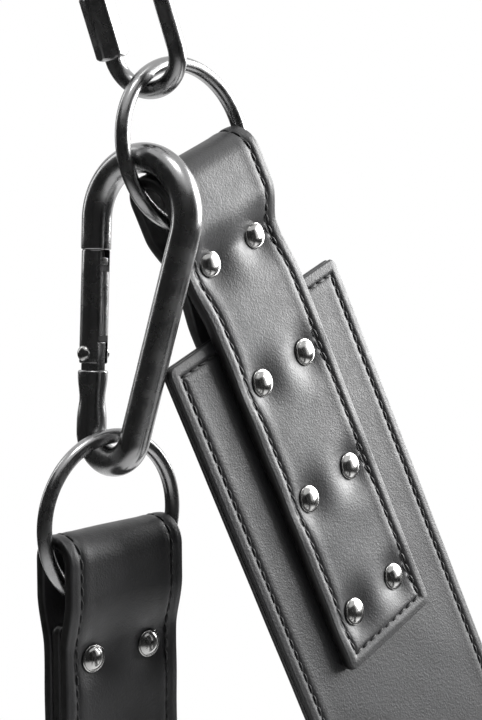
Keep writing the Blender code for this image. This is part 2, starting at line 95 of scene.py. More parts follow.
FOOT_TURN = math.radians(6)
FOOT_BELT_TOP = 31.2 * MM
FOOT_JOIN = 240 * MM
FOOT_OVERLAP = 42 * MM
FOOT_LOOP = (118 * MM, 160 * MM)
FOOT_DROP = 0.77
LEAN_DOWN = Vector((0, math.sin(LEAN), -math.cos(LEAN)))
LEAN_ACROSS = Vector((0, math.cos(LEAN), math.sin(LEAN)))
LINK_REACH = RING_RADIUS - RING_WIRE - LINK_WIRE - 2 * GAP

# Leather work
CORNER = 3 * MM
DIMPLE_DEPTH = 1.9 * MM
DIMPLE_REACH = 7.4 * MM
SINK = 1.2 * MM
WAVE = 0.16 * MM
STITCH_INSET = 4.6 * MM
STITCH_PITCH = 4.4 * MM
STITCH_LENGTH = 3.5 * MM
THREAD = 0.42 * MM
EDGE_ROUND = 0.6 * MM
EDGE_BULGE = 0.32 * MM
EDGE_LEVELS = (1, 0.5, 0, -0.5, -1)
EDGE_SLOT = 1
THREAD_SLOT = 2
BORDER_BAND = 8.5 * MM
BORDER_PITCH = 0.45 * MM

# Metal work. The neck is the narrower stretch of the hook's rod below its heel
NECK = 0.15
NECK_PLACE = 8.5 * MM
NECK_SPREAD = 4.2 * MM
GATE_EDGE = 0.55 * MM
GATE_NOSE_SLOT = 7.2 * MM
GATE_HEEL_SLOT = 6 * MM
SLOT_CUT = 30 * MM


# ---------------------------------------------------------------- materials


class Look:
    """A Principled material with a few procedural layers."""

    def __init__(self, name, colour, roughness, metallic=0.0, specular=0.5, coat=0.0, coat_roughness=0.1):
        self.material = bpy.data.materials.new(name)
        self.material.use_nodes = True
        self.tree = self.material.node_tree
        self.shader = self.tree.nodes["Principled BSDF"]
        self.place = self.tree.nodes.new("ShaderNodeTexCoord").outputs["Object"]
        self.set("Base Color", (*colour, 1))
        self.set("Roughness", roughness)
        self.set("Metallic", metallic)
        self.set("Specular IOR Level", specular)
        self.set("Coat Weight", coat)
        self.set("Coat Roughness", coat_roughness)
        self.normal = None

    def set(self, socket, value):
        self.shader.inputs[socket].default_value = value

    def noise(self, scale, detail=3.0, roughness=0.55):
        node = self.tree.nodes.new("ShaderNodeTexNoise")
        node.inputs["Scale"].default_value = scale
        node.inputs["Detail"].default_value = detail
        node.inputs["Roughness"].default_value = roughness
        self.tree.links.new(self.place, node.inputs["Vector"])
        return node.outputs["Fac"]

    def cells(self, scale):
        node = self.tree.nodes.new("ShaderNodeTexVoronoi")
        node.inputs["Scale"].default_value = scale
        self.tree.links.new(self.place, node.inputs["Vector"])
        return node.outputs["Distance"]

    def mapped(self, value, low, high, to_low, to_high):
        node = self.tree.nodes.new("ShaderNodeMapRange")
        ends = {"From Min": low, "From Max": high, "To Min": to_low, "To Max": to_high}
        for socket, number in ends.items():
            node.inputs[socket].default_value = number
        self.tree.links.new(value, node.inputs["Value"])
        return node.outputs["Result"]

    def bump(self, value, depth, strength=1.0):
        node = self.tree.nodes.new("ShaderNodeBump")
        node.inputs["Strength"].default_value = strength
        node.inputs["Distance"].default_value = depth
        self.tree.links.new(value, node.inputs["Height"])
        if self.normal:
            self.tree.links.new(self.normal, node.inputs["Normal"])
        self.normal = node.outputs["Normal"]
        self.tree.links.new(self.normal, self.shader.inputs["Normal"])

    def vary(self, socket, value):
        self.tree.links.new(value, self.shader.inputs[socket])

    def tint(self, value, dark, light):
        node = self.tree.nodes.new("ShaderNodeMix")
        node.data_type = "RGBA"
        node.inputs["A"].default_value = (*dark, 1)
        node.inputs["B"].default_value = (*light, 1)
        self.tree.links.new(value, node.inputs["Factor"])
        self.vary("Base Color", node.outputs["Result"])


def leather_look(name, dark, light, sheen, grain):
    look = Look(name, dark, 0.5, specular=0.6, coat=sheen, coat_roughness=0.42)
    look.bump(look.noise(90, 2), 0.9 * MM, 0.05)
    look.bump(look.cells(900), 0.3 * MM, grain * 0.3)
    look.bump(look.cells(1500), 0.14 * MM, grain)
    look.bump(look.noise(2600, 2), 0.05 * MM, 0.5)
    look.vary("Roughness", look.mapped(look.noise(240, 4), 0.3, 0.7, 0.44, 0.56))
    look.tint(look.mapped(look.noise(110, 4), 0.35, 0.7, 0, 1), dark, light)
    return look.material


def metal_look(name, colour, low, high, scratch):
    look = Look(name, colour, low, metallic=1.0)
    look.vary("Roughness", look.mapped(look.noise(160, 5), 0.35, 0.7, low, high))
    look.tint(look.mapped(look.noise(90, 4), 0.3, 0.75, 0, 1), colour, tuple(c * 0.8 for c in colour))
    look.bump(look.noise(420, 3), 0.05 * MM, scratch)
    return look.material


LEATHER_FACE = leather_look("black_leather", (0.011, 0.011, 0.012), (0.017, 0.017, 0.019), 0.25, 0.45)
LEATHER_EDGE = Look("painted_edge", (0.006, 0.006, 0.006), 0.34, specular=0.5)
LEATHER_EDGE.bump(LEATHER_EDGE.noise(500, 3), 0.15 * MM, 0.4)
LEATHER_EDGE.vary("Roughness", LEATHER_EDGE.mapped(LEATHER_EDGE.noise(300, 3), 0.3, 0.7, 0.28, 0.5))
LEATHER_EDGE = LEATHER_EDGE.material
THREAD_LOOK = Look("waxed_thread", (0.012, 0.012, 0.013), 0.5, specular=0.45)
THREAD_LOOK.bump(THREAD_LOOK.noise(2400, 2), 0.12 * MM, 0.7)
THREAD_LOOK = THREAD_LOOK.material
STEEL = metal_look("dark_steel", (0.34, 0.34, 0.342), 0.2, 0.33, 0.3)
NICKEL = metal_look("bright_nickel", (0.44, 0.437, 0.43), 0.16, 0.26, 0.25)


# ---------------------------------------------------------------- the part's frames


def placed(origin, x_axis, y_axis):
    """The matrix of a right-handed frame."""
    x_axis = x_axis.normalized()
    z_axis = x_axis.cross(y_axis).normalized()
    matrix = Matrix((x_axis, z_axis.cross(x_axis), z_axis)).transposed().to_4x4()
    matrix.translation = origin
    return matrix


def eased(start, stop, share):
    """A smooth step from start to stop."""
    return start + (stop - start) * share * share * (3 - 2 * share)


def arc_points(centre, radius, start, stop, steps):
    """Points on an arc, with its angles in degrees."""
    angles = np.radians(np.linspace(start, stop, steps + 1))
    return [Vector((centre[0] + math.cos(a) * radius, centre[1] + math.sin(a) * radius)) for a in angles]


def seat_half(steps=120):
    """The belt's middle line from a ring's centre to the bottom of its U, in X and leaned depth."""
    run = BELT_RUN / 2 - STRAIGHT_RUN
    point = Vector((math.sin(LEAVE), math.cos(LEAVE))) * STRAIGHT_RUN
    half = [Vector((0, 0)), point.copy()]
    for index in range(steps):
        share = (index + 0.5) / steps
        turned = share - math.sin(math.pi * share) / math.pi
        angle = LEAVE + (math.pi / 2 - LEAVE) * turned
        point += Vector((math.sin(angle), math.cos(angle))) * run / steps
        half.append(point.copy())
    return half


SEAT_HALF = seat_half()
HALF_SPAN = seat_half(30)[-1].x


def leaned_up(side, angle):
    """Up in the plane of the U, and outward by this angle."""
    inward = Vector((-side, 0, 0))
    return -(inward * math.sin(angle) + LEAN_DOWN * math.cos(angle))


def ring_up(side, angle):
    """From a main ring's centre to a point on it, by its angle from the top."""
    return LEAN_ACROSS * math.sin(angle) + leaned_up(side, RING_LEAN) * math.cos(angle)


def link_up(side):
    return Vector((LINK_UP.x * side, LINK_UP.y, LINK_UP.z))


def link_contact(side):
    top = link_up(side) * (2 * LINK_BEND + LINK_STRAIGHT - LINK_WIRE)
    return Vector((side * (HALF_SPAN + LINK_REACH * ring_up(1, LINK_CONTACT).x), -top.y, -top.z))


def ring_centre(side):
    return link_contact(side) - ring_up(side, LINK_CONTACT) * LINK_REACH


def hang_frame(side):
    """At a main ring's centre: X inward off the strap, Y up along it."""
    inward = Vector((-side, 0, 0))
    normal = inward * math.cos(LEAVE) - LEAN_DOWN * math.sin(LEAVE)
    return placed(ring_centre(side), normal, leaned_up(side, LEAVE))


def link_frame(side):
    """At the middle of a quick link's lower bend: X across it, Y up."""
    up = link_up(side)
    inward = Vector((-side * math.cos(LINK_TURN), math.sin(LINK_TURN), 0))
    return placed(link_contact(side) + up * LINK_BEND, inward - up * inward.dot(up), up)


def hook_frame(side):
    """At the middle of a snap hook's top arc: X inward, Y up."""
    down = Vector((HOOK_DOWN.x * -side, HOOK_DOWN.y, HOOK_DOWN.z))
    inward = Vector((-side, 0, 0))
    on_ring = ring_centre(side) + LEAN_ACROSS * HOOK_ACROSS + ring_up(side, 0) * HOOK_ABOVE
    crossing = on_ring + inward * HOOK_SHIFT
    return placed(crossing + down * HOOK_TOP_ARC, inward - down * inward.dot(down), -down)


def gate_line():
    """Where the gate's line starts in the hook's plane, and its direction."""
    taper = math.asin((HOOK_TOP_ARC - HOOK_BOTTOM_ARC) / HOOK_CENTRES)
    start = Vector((-math.cos(taper), -math.sin(taper))) * HOOK_TOP_ARC
    return start, Vector((math.sin(taper), -math.cos(taper))), math.degrees(taper)


def gate_frame(side, distance):
    """On the gate's line: X along it, downwards, and Z across the hook."""
    start, along, _ = gate_line()
    centre = start + along * distance
    return hook_frame(side) @ placed(centre.to_3d(), along.to_3d(), Vector((-along.y, along.x, 0)))


def foot_frame(side):
    """At a lower ring's centre: X inward off the strap, Y up."""
    rod = hook_frame(side) @ Vector((0, -HOOK_CENTRES - HOOK_BOTTOM_ARC, 0))
    centre = rod + Vector((0, 0, HOOK_ROD + RING_WIRE + 2 * GAP - RING_RADIUS))
    inward = Vector((-side * math.cos(FOOT_TURN), -math.sin(FOOT_TURN), 0))
    return placed(centre, inward, Vector((0, 0, 1)))


# ---------------------------------------------------------------- meshes


class Shell:
    """Gathers vertices and faces in world space, with a material for each face."""

    def __init__(self):
        self.verts, self.faces, self.slots, self.count = [], [], [], 0

    def add(self, verts, faces, slot=0):
        verts = np.asarray(verts, float).reshape(-1, 3)
        self.verts.append(verts)
        self.faces += [tuple(index + self.count for index in face) for face in np.asarray(faces).tolist()]
        self.slots += [slot] * len(faces)
        self.count += len(verts)

    def add_mesh(self, shape, matrix):
        """A bmesh, whose faces may have any number of sides."""
        verts = [tuple(matrix @ vert.co) for vert in shape.verts]
        self.verts.append(np.array(verts))
        for face in shape.faces:
            self.faces.append(tuple(vert.index + self.count for vert in face.verts))
            self.slots.append(0)
        self.count += len(verts)

    def finish(self, name, body, replaced, materials, sharp=None):
        mesh = bpy.data.meshes.new(name)
        mesh.from_pydata(np.concatenate(self.verts).tolist(), [], self.faces)
        for material in materials:
            mesh.materials.append(material)
        mesh.polygons.foreach_set("material_index", self.slots)
        mesh.shade_smooth()
        if sharp:
            mesh.set_sharp_from_angle(angle=math.radians(sharp))
        thing = bpy.data.objects.new(name, mesh)
        bpy.context.scene.collection.objects.link(thing)
        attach(thing, body)
        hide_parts(*replaced)
        return thing


def world_points(matrix, local):
    rotation = np.array(matrix.to_3x3())
    return local @ rotation.T + np.array(matrix.translation)


def grid_faces(rows, columns, wrap=False, flip=False):
    """Quads between neighbouring points of a grid whose columns may close on themselves."""
    row, column = np.meshgrid(np.arange(rows - 1), np.arange(columns - (0 if wrap else 1)), indexing="ij")
    after = (column + 1) % columns
    quads = np.stack([row * columns + column, row * columns + after, (row + 1) * columns + after,
                      (row + 1) * columns + column], -1).reshape(-1, 4)
    return quads[:, ::-1] if flip else quads


def tube(shell, matrix, points, radius, sides=40, cyclic=False):
    """A rod along a line in the local XY plane, with one radius or one for each point."""
    points = np.array([tuple(p)[:2] for p in points])
    count = len(points)
    radius = np.broadcast_to(radius, count)
    if cyclic:
        along = np.roll(points, -1, 0) - np.roll(points, 1, 0)
    else:
        along = np.gradient(points, axis=0)
    along /= np.linalg.norm(along, axis=1)[:, None]
    angle = 2 * np.pi * np.arange(sides) / sides
    across = np.stack([-along[:, 1], along[:, 0]], 1)
    offset = np.cos(angle)[None, :, None] * across[:, None, :] * radius[:, None, None]
    height = np.sin(angle)[None, :] * radius[:, None]
    local = np.concatenate([points[:, None, :] + offset, height[..., None]], -1)
    faces = grid_faces(count, sides, wrap=True)
    if cyclic:
        last = np.arange(sides) + (count - 1) * sides
        first = np.arange(sides)
        faces = np.concatenate([faces, np.stack([last, np.roll(last, -1), np.roll(first, -1), first], 1)])
    shell.add(world_points(matrix, local.reshape(-1, 3)), faces)
    if not cyclic:
        for row in (0, count - 1):
            ends = local[row]
            cap = [list(range(sides)) if row else list(range(sides))[::-1]]
            shell.add(world_points(matrix, ends), cap)


def rounded_ends(points, radius, edge, steps=5):
    """The line with short end pieces added, and the radii that round its end edges over."""
    points = [Vector(tuple(p)[:2]) for p in points]
    radii = [radius] * len(points)
    for _ in range(2):
        outward = (points[0] - points[1]).normalized()
        start = points[0].copy()
        for step in range(1, steps + 1):
            turn = math.pi / 2 * step / steps
            points.insert(0, start + outward * edge * math.sin(turn))
            radii.insert(0, radius - edge * (1 - math.cos(turn)))
        points.reverse()
        radii.reverse()
    return points, np.array(radii)


def lathe(shell, matrix, profile, sides=48):
    """A solid of revolution about local Z. The profile runs from the top down its outer side."""
    profile = np.array(profile)
    angle = 2 * np.pi * np.arange(sides) / sides
    local = np.stack([profile[:, :1] * np.cos(angle), profile[:, :1] * np.sin(angle),
                      np.repeat(profile[:, 1:], sides, 1)], -1)
    faces = grid_faces(len(profile), sides, wrap=True, flip=True)
    shell.add(world_points(matrix, local.reshape(-1, 3)), faces)


def block(shell, matrix, size, edge):
    """A box with rounded edges."""
    shape = bmesh.new()
    bmesh.ops.create_cube(shape, size=1, matrix=Matrix.Diagonal((*size, 1)))
    bmesh.ops.bevel(shape, geom=list(shape.edges), offset=edge, segments=3, profile=0.5, affect="EDGES")
    shape.verts.index_update()
    shell.add_mesh(shape, matrix)
    shape.free()


# ---------------------------------------------------------------- leather


class Strip:
    """A belt's middle line, and the place of any point on or in the leather."""

    def __init__(self, matrix, points, width, thickness):
        self.matrix, self.width, self.thickness = matrix, width, thickness
        points = np.array([tuple(p) for p in points])
        keep = np.concatenate([[True], np.linalg.norm(np.diff(points, axis=0), axis=1) > 1e-7])
        self.points = points[keep]
        self.run = np.concatenate([[0], np.cumsum(np.linalg.norm(np.diff(self.points, axis=0), axis=1))])
        self.length = self.run[-1]
        along = np.gradient(self.points, self.run, axis=0)
        along /= np.linalg.norm(along, axis=1)[:, None]
        self.normals = np.stack([-along[:, 1], along[:, 0]], 1)

    def at(self, along, across, height):
        """World points. along is the distance on the line, and height is off it to the left."""
        local = []
        for axis in (0, 1):
            middle = np.interp(along, self.run, self.points[:, axis])
            local.append(middle + np.interp(along, self.run, self.normals[:, axis]) * height)
        local.append(across + 0 * along)
        return world_points(self.matrix, np.stack(np.broadcast_arrays(*local), -1))

    def half_width(self, along):
        end = np.minimum(along, self.length - along)
        inside = np.clip(CORNER - end, 0, CORNER)
        return self.width / 2 - (CORNER - np.sqrt(CORNER**2 - inside**2))

    def to_edge(self, along, across):
        """The distance to the outline."""
        end = np.minimum(along, self.length - along)
        side = self.width / 2 - np.abs(across)
        corner = CORNER - np.hypot(CORNER - end, CORNER - side)
        return np.where((end < CORNER) & (side < CORNER), corner, np.minimum(end, side))

    def crossings(self, depth):
        """Where the line passes this depth below its frame's origin, on its way up and on its way down."""
        below = -self.points[:, 1] - depth
        found = []
        for index in np.nonzero(below[:-1] * below[1:] < 0)[0]:
            share = below[index] / (below[index] - below[index + 1])
            found.append(self.run[index] + share * (self.run[index + 1] - self.run[index]))
        return found


def graded(length, pitch):
    """Stations along this length, close together near both ends."""
    near = np.concatenate([[0, 0.12, 0.35, 0.7], np.arange(1.1, BORDER_BAND / MM, BORDER_PITCH / MM)]) * MM
    steps = max(2, int((length - 2 * BORDER_BAND) / pitch))
    middle = np.linspace(BORDER_BAND, length - BORDER_BAND, steps)
    return np.concatenate([near, middle, (length - near)[::-1]])


def border(distance):
    """How far the leather stands above its face, for the sunk stitch line and the ridge outside it."""
    ridge = 0.2 * MM * np.exp(-(((distance - 2.5 * MM) / (1.25 * MM)) ** 2))
    groove = 0.55 * MM * np.exp(-(((distance - STITCH_INSET) / (0.75 * MM)) ** 2))
    inner = 0.12 * MM * np.exp(-(((distance - 7.4 * MM) / (1.7 * MM)) ** 2))
    return ridge - groove + inner


def waves(along, across, seed):
    """Slow unevenness of hand-worked leather."""
    random = np.random.default_rng(seed)
    total = 0
    for _ in range(7):
        pitch = random.uniform(14, 46) * MM
        turn = random.uniform(0, 2 * np.pi)
        shift = random.uniform(0, 2 * np.pi)
        total = total + np.sin((along * np.cos(turn) + across * np.sin(turn)) * 2 * np.pi / pitch + shift)
    return total / 7


def dimples(along, across, centres):
    """How far each rivet pulls the outer face in, with the low swelling round it."""
    total = 0 * along
    for centre, middle in centres:
        away = np.hypot(along - centre, across - middle) / DIMPLE_REACH
        total += DIMPLE_DEPTH * (np.exp(-(away**2)) - 0.12 * np.exp(-((away - 1.9) ** 2)))
    return total


def leather_strip(shell, strip, seed, centres=(), faces=(1, 1), pitch=0.9 * MM, wave=WAVE):
    """One belt: two faces with their border relief, and a bulging edge between them."""
    along = graded(strip.length, pitch)
    share = graded(strip.width, pitch) / strip.width * 2 - 1
    rows, columns = len(along), len(share)
    u = np.repeat(along[:, None], columns, 1)
    v = share[None, :] * strip.half_width(along)[:, None]
    distance = np.maximum(strip.to_edge(u, v), 0)
    inside = 1 - np.minimum(distance, EDGE_ROUND) / EDGE_ROUND
    rounding = min(EDGE_ROUND, strip.thickness * 0.4)
    thick = strip.thickness / 2 - rounding * (1 - np.sqrt(np.maximum(0, 1 - inside**2)))
    shift = wave * waves(u, v, seed)
    relief = border(distance)
    top = shift + thick + relief * faces[0]
    bottom = shift - thick - relief * faces[1] + dimples(u, v, centres)
    shell.add(strip.at(u, v, top), grid_faces(rows, columns, flip=True))
    shell.add(strip.at(u, v, bottom), grid_faces(rows, columns))
    ring = [(row, columns - 1) for row in range(rows)]
    ring += [(rows - 1, column) for column in range(columns - 2, -1, -1)]
    ring += [(row, 0) for row in range(rows - 2, -1, -1)]
    ring += [(0, column) for column in range(1, columns - 1)]
    ring = np.array(ring)
    u_edge, v_edge = u[ring[:, 0], ring[:, 1]], v[ring[:, 0], ring[:, 1]]
    high, low = top[ring[:, 0], ring[:, 1]], bottom[ring[:, 0], ring[:, 1]]
    u_step = np.roll(u_edge, -1) - np.roll(u_edge, 1)
    v_step = np.roll(v_edge, -1) - np.roll(v_edge, 1)
    away = np.stack([v_step, -u_step], 1)
    away /= np.linalg.norm(away, axis=1)[:, None] + 1e-12
    centre = np.array([strip.length / 2, 0])
    if ((np.stack([u_edge, v_edge], 1) - centre) * away).sum() < 0:
        away = -away
    layers = []
    for level in EDGE_LEVELS:
        bulge = EDGE_BULGE * (1 - level**2)
        height = (high + low) / 2 + (high - low) / 2 * level
        layers.append(strip.at(u_edge + away[:, 0] * bulge, v_edge + away[:, 1] * bulge, height))
    around = grid_faces(len(EDGE_LEVELS), len(ring), wrap=True, flip=True)
    shell.add(np.concatenate(layers), around, EDGE_SLOT)


def stitched_height(strip, along, across, side, seed, wave):
    """How far a stitched face stands off the strip's middle line."""
    relief = border(strip.to_edge(along, across))
    return wave * waves(along, across, seed) + side * (strip.thickness / 2 + relief)


def outline(strip, inset):
    """Points along a closed line this far inside the outline, with its rounded corners."""
    half, length, radius = strip.width / 2 - inset, strip.length - inset, max(CORNER - inset, 0.6 * MM)
    corners = [(length - radius, half - radius, 0), (length - radius, -half + radius, -90),
               (inset + radius, -half + radius, -180), (inset + radius, half - radius, -270)]
    points = []
    for along, across, start in corners:
        for turn in range(7):
            angle = math.radians(90 + start - turn * 15)
            points.append((along + radius * math.cos(angle), across + radius * math.sin(angle)))
    return np.array(points + points[:1])


def stitches(shell, strip, side, seed, wave=WAVE):
    """Saddle stitches in the sunk line on one face."""
    line = outline(strip, STITCH_INSET)
    run = np.concatenate([[0], np.cumsum(np.linalg.norm(np.diff(line, axis=0), axis=1))])
    count = int(round(run[-1] / STITCH_PITCH))
    starts = (np.arange(count) + 0.5) * run[-1] / count
    stations = np.array([-0.5, -0.43, -0.25, 0, 0.25, 0.43, 0.5])
    size = np.array([0.25, 0.75, 1, 1.04, 1, 0.75, 0.25]) * THREAD
    lift = np.array([-0.55, -0.18, 0.02, 0.1, 0.02, -0.18, -0.55]) * MM * 0.8
    centre = starts[:, None] + stations * STITCH_LENGTH
    slant = stations * 0.5 * MM
    a = np.interp(centre, run, line[:, 0])
    b = np.interp(centre, run, line[:, 1])
    ahead = 0.2 * MM
    da = np.interp(centre + ahead, run, line[:, 0]) - np.interp(centre - ahead, run, line[:, 0])
    db = np.interp(centre + ahead, run, line[:, 1]) - np.interp(centre - ahead, run, line[:, 1])
    long = np.hypot(da, db) + 1e-12
    da, db = da / long, db / long
    a, b = a - db * slant, b + da * slant
    base = stitched_height(strip, a, b, side, seed, wave) + side * (lift + 0.28 * MM)
    sides = 8
    turn = 2 * np.pi * np.arange(sides) / sides
    across = np.cos(turn) * size[:, None]
    up = np.sin(turn) * size[:, None]
    points = strip.at(a[..., None] - db[..., None] * across, b[..., None] + da[..., None] * across,
                      base[..., None] + up)
    faces = grid_faces(len(stations), sides, wrap=True)
    per = len(stations) * sides
    every = (faces[None] + np.arange(count)[:, None, None] * per).reshape(-1, 4)
    shell.add(points.reshape(-1, 3), every, THREAD_SLOT)


def fold_line(stations):
    """A strap folded over a ring: up one leg, round the fold, down the other."""
    leg = []
    for (gap, deep), (next_gap, next_deep) in zip(stations[:-1], stations[1:]):
        for share in np.linspace(0, 1, 24, endpoint=False):
            leg.append(Vector((eased(gap, next_gap, share), -(deep + (next_deep - deep) * share))))
    leg.append(Vector((stations[-1][0], -stations[-1][1])))
    fold = arc_points((0, -FOLD_BELOW - POCKET_RADIUS), POCKET_RADIUS, 0, 180, 40)[1:-1]
    return leg[::-1] + fold + [Vector((-p.x, p.y)) for p in leg]


def rivet_centres(strip, depths):
    runs = [run for depth in depths for run in strip.crossings(depth)]
    return [(run, side * RIVET_SPACING / 2) for run in runs for side in (-1, 1)]


def rivet_matrices(matrix, depths, aside=0.0):
    turn = Matrix.Rotation(math.pi / 2, 4, "Y")
    return [matrix @ Matrix.Translation((aside, -depth, side * RIVET_SPACING / 2)) @ turn
            for depth in depths for side in (-1, 1)]


def rivets(name, body, replaced, places):
    """Double-cap rivets. Each place has a matrix with Z along the rivet, and half the stack's thickness."""
    shell = Shell()
    for matrix, half in places:
        cap = [(0, 2.25), (0.8, 2.22), (1.6, 2.1), (2.4, 1.86), (3.1, 1.5), (3.6, 1.12), (3.85, 0.86),
               (3.98, 0.76), (4.15, 0.74), (4.45, 0.72), (4.64, 0.6), (4.7, 0.42), (4.66, 0.24), (4.5, 0.1),
               (4.2, 0.0), (2.0, 0.0)]
        profile = [(r * MM, half + z * MM) for r, z in cap]
        lathe(shell, matrix, profile)
        lathe(shell, matrix @ Matrix.Rotation(math.pi, 4, "X"), profile)
        lathe(shell, matrix, [(1.9 * MM, half + 0.1 * MM), (1.9 * MM, -half - 0.1 * MM)], sides=16)
    return shell.finish(name, body, replaced, [NICKEL])


def build_main_hanger(name, side):
    """The folded strap, its stitches and rivets, and the ring it hangs from."""
    matrix = hang_frame(side)
    pinched = (LEATHER + GAP) / 2
    spread = (2 * PLY + GAP + LEATHER) / 2 + GAP
    line = fold_line([
        (POCKET_RADIUS, FOLD_BELOW + POCKET_RADIUS), (POCKET_RADIUS, POCKET_DEPTH), (pinched, SEAT_PINCH[0]),
        (pinched, SEAT_PINCH[1]), (spread, SEAT_END - 3 * MM), (spread, SEAT_STRAP_END),
    ])
    strip = Strip(matrix, line, STRAP_WIDTH, LEATHER)
    rows = [SEAT_FIRST_ROW + ROW_SPACING * index for index in range(4)]
    shell = Shell()
    leather_strip(shell, strip, 11 + side, centres=rivet_centres(strip, rows), faces=(0, 1))
    stitches(shell, strip, -1, 11 + side)
    shell.finish(f"{name}_loop_strap_leather", "seat", [f"{name}_loop_strap"],
                 [LEATHER_FACE, LEATHER_EDGE, THREAD_LOOK])
    places = []
    for index, place in enumerate(rivet_matrices(matrix, rows)):
        half = (2 * LEATHER + GAP) / 2 if index < 2 else spread + LEATHER / 2
        places.append((place, half - SINK))
    rivets(f"{name}_seat_rivets", "seat", [f"{name}_seat_rivet_{i + 1}" for i in range(8)], places)
    ring_plane = placed(ring_centre(side), LEAN_ACROSS, ring_up(side, 0))
    ring(f"{name}_main_ring_wire", "seat", f"{name}_main_ring", ring_plane)


def ring(name, body, replaced, matrix):
    """A welded ring, in its frame's XY plane."""
    shell = Shell()
    points = arc_points((0, 0), RING_RADIUS, 0, 360, 160)[:-1]
    tube(shell, matrix, points, RING_WIRE, cyclic=True)
    shell.finish(name, body, [replaced], [STEEL])


def build_seat():
    """The wide belt's two plies."""
    centre = (ring_centre(-1) + ring_centre(1)) / 2
    matrix = placed(centre, Vector((1, 0, 0)), -LEAN_DOWN)
    start = Vector((math.sin(LEAVE), math.cos(LEAVE))) * SEAT_END
    left = [Vector((p.x - HALF_SPAN, -p.y)) for p in [start] + SEAT_HALF[1:]]
    left[-1].x = 0.0
    line = left + [Vector((-p.x, p.y)) for p in left[-2::-1]]
    base = Strip(matrix, line, SEAT_WIDTH, PLY)
    for name, way, seed in (("inner", 1, 21), ("outer", -1, 22)):
        moved = base.points + base.normals * way * (PLY + GAP) / 2
        strip = Strip(matrix, moved, SEAT_WIDTH, PLY + 0.1 * MM)
        shell = Shell()
        faces = (1, 0) if way > 0 else (0, 1)
        leather_strip(shell, strip, seed, faces=faces, pitch=2.6 * MM, wave=0.1 * MM)
        stitches(shell, strip, way, seed, wave=0.1 * MM)
        shell.finish(f"seat_belt_{name}_leather", "seat", [f"seat_belt_{name}_ply"],
                     [LEATHER_FACE, LEATHER_EDGE, THREAD_LOOK])


def build_link(name, side):
    """The quick link's wire and its nut."""
    matrix = link_frame(side)
    points = [Vector((-LINK_BEND, LINK_GAP[0]))] + arc_points((0, 0), LINK_BEND, 180, 360, 60)
    points += arc_points((0, LINK_STRAIGHT), LINK_BEND, 0, 180, 60) + [Vector((-LINK_BEND, LINK_GAP[1]))]
    points, radii = rounded_ends(points, LINK_WIRE, 0.5 * MM)
    shell = Shell()
    tube(shell, matrix, points, radii)
    shell.finish(f"{name}_quick_link_wire", "hangers", [f"{name}_quick_link"], [STEEL])
    shell = Shell()
    nut_middle = Matrix.Translation((-LINK_BEND, GAP + NUT_LENGTH / 2, 0))
    hexagon_nut(shell, matrix @ nut_middle @ Matrix.Rotation(-math.pi / 2, 4, "X"))
    replaced = [f"{name}_link_nut"]
    shell.finish(f"{name}_link_nut_sleeve", f"{name}_nut", replaced, [STEEL], sharp=38)


def hexagon_nut(shell, matrix):
    """A long hexagon sleeve with turned-down ends, about local Z."""
    half, flat = NUT_LENGTH / 2, NUT_FLATS / 2
    corner = flat / math.cos(math.pi / 6)
    sides = 96
    angle = 2 * np.pi * np.arange(sides) / sides
    hexagon = flat / np.cos((angle + math.pi / 6) % (math.pi / 3) - math.pi / 6)
    hexagon = np.minimum(hexagon, corner - 0.25 * MM)
    profile = [(half, 3.15 * MM), (half, flat - 0.9 * MM), (half - 0.15 * MM, flat - 0.5 * MM)]
    profile += [(half - 0.55 * MM, flat), (half - 0.95 * MM, flat + 0.4 * MM), (half - 1.4 * MM, corner)]
    rows = []
    for height, limit in profile + [(-h, limit) for h, limit in profile[::-1]]:
        radius = np.minimum(hexagon, limit)
        rows.append(np.stack([radius * np.cos(angle), radius * np.sin(angle), np.full(sides, height)], 1))
    inner = np.stack([3.15 * MM * np.cos(angle), 3.15 * MM * np.sin(angle), np.full(sides, -half)], 1)
    rows.append(inner)
    rows.append(inner + np.array([0, 0, 2 * half]))
    shell.add(world_points(matrix, np.concatenate(rows)), grid_faces(len(rows), sides, wrap=True, flip=True))


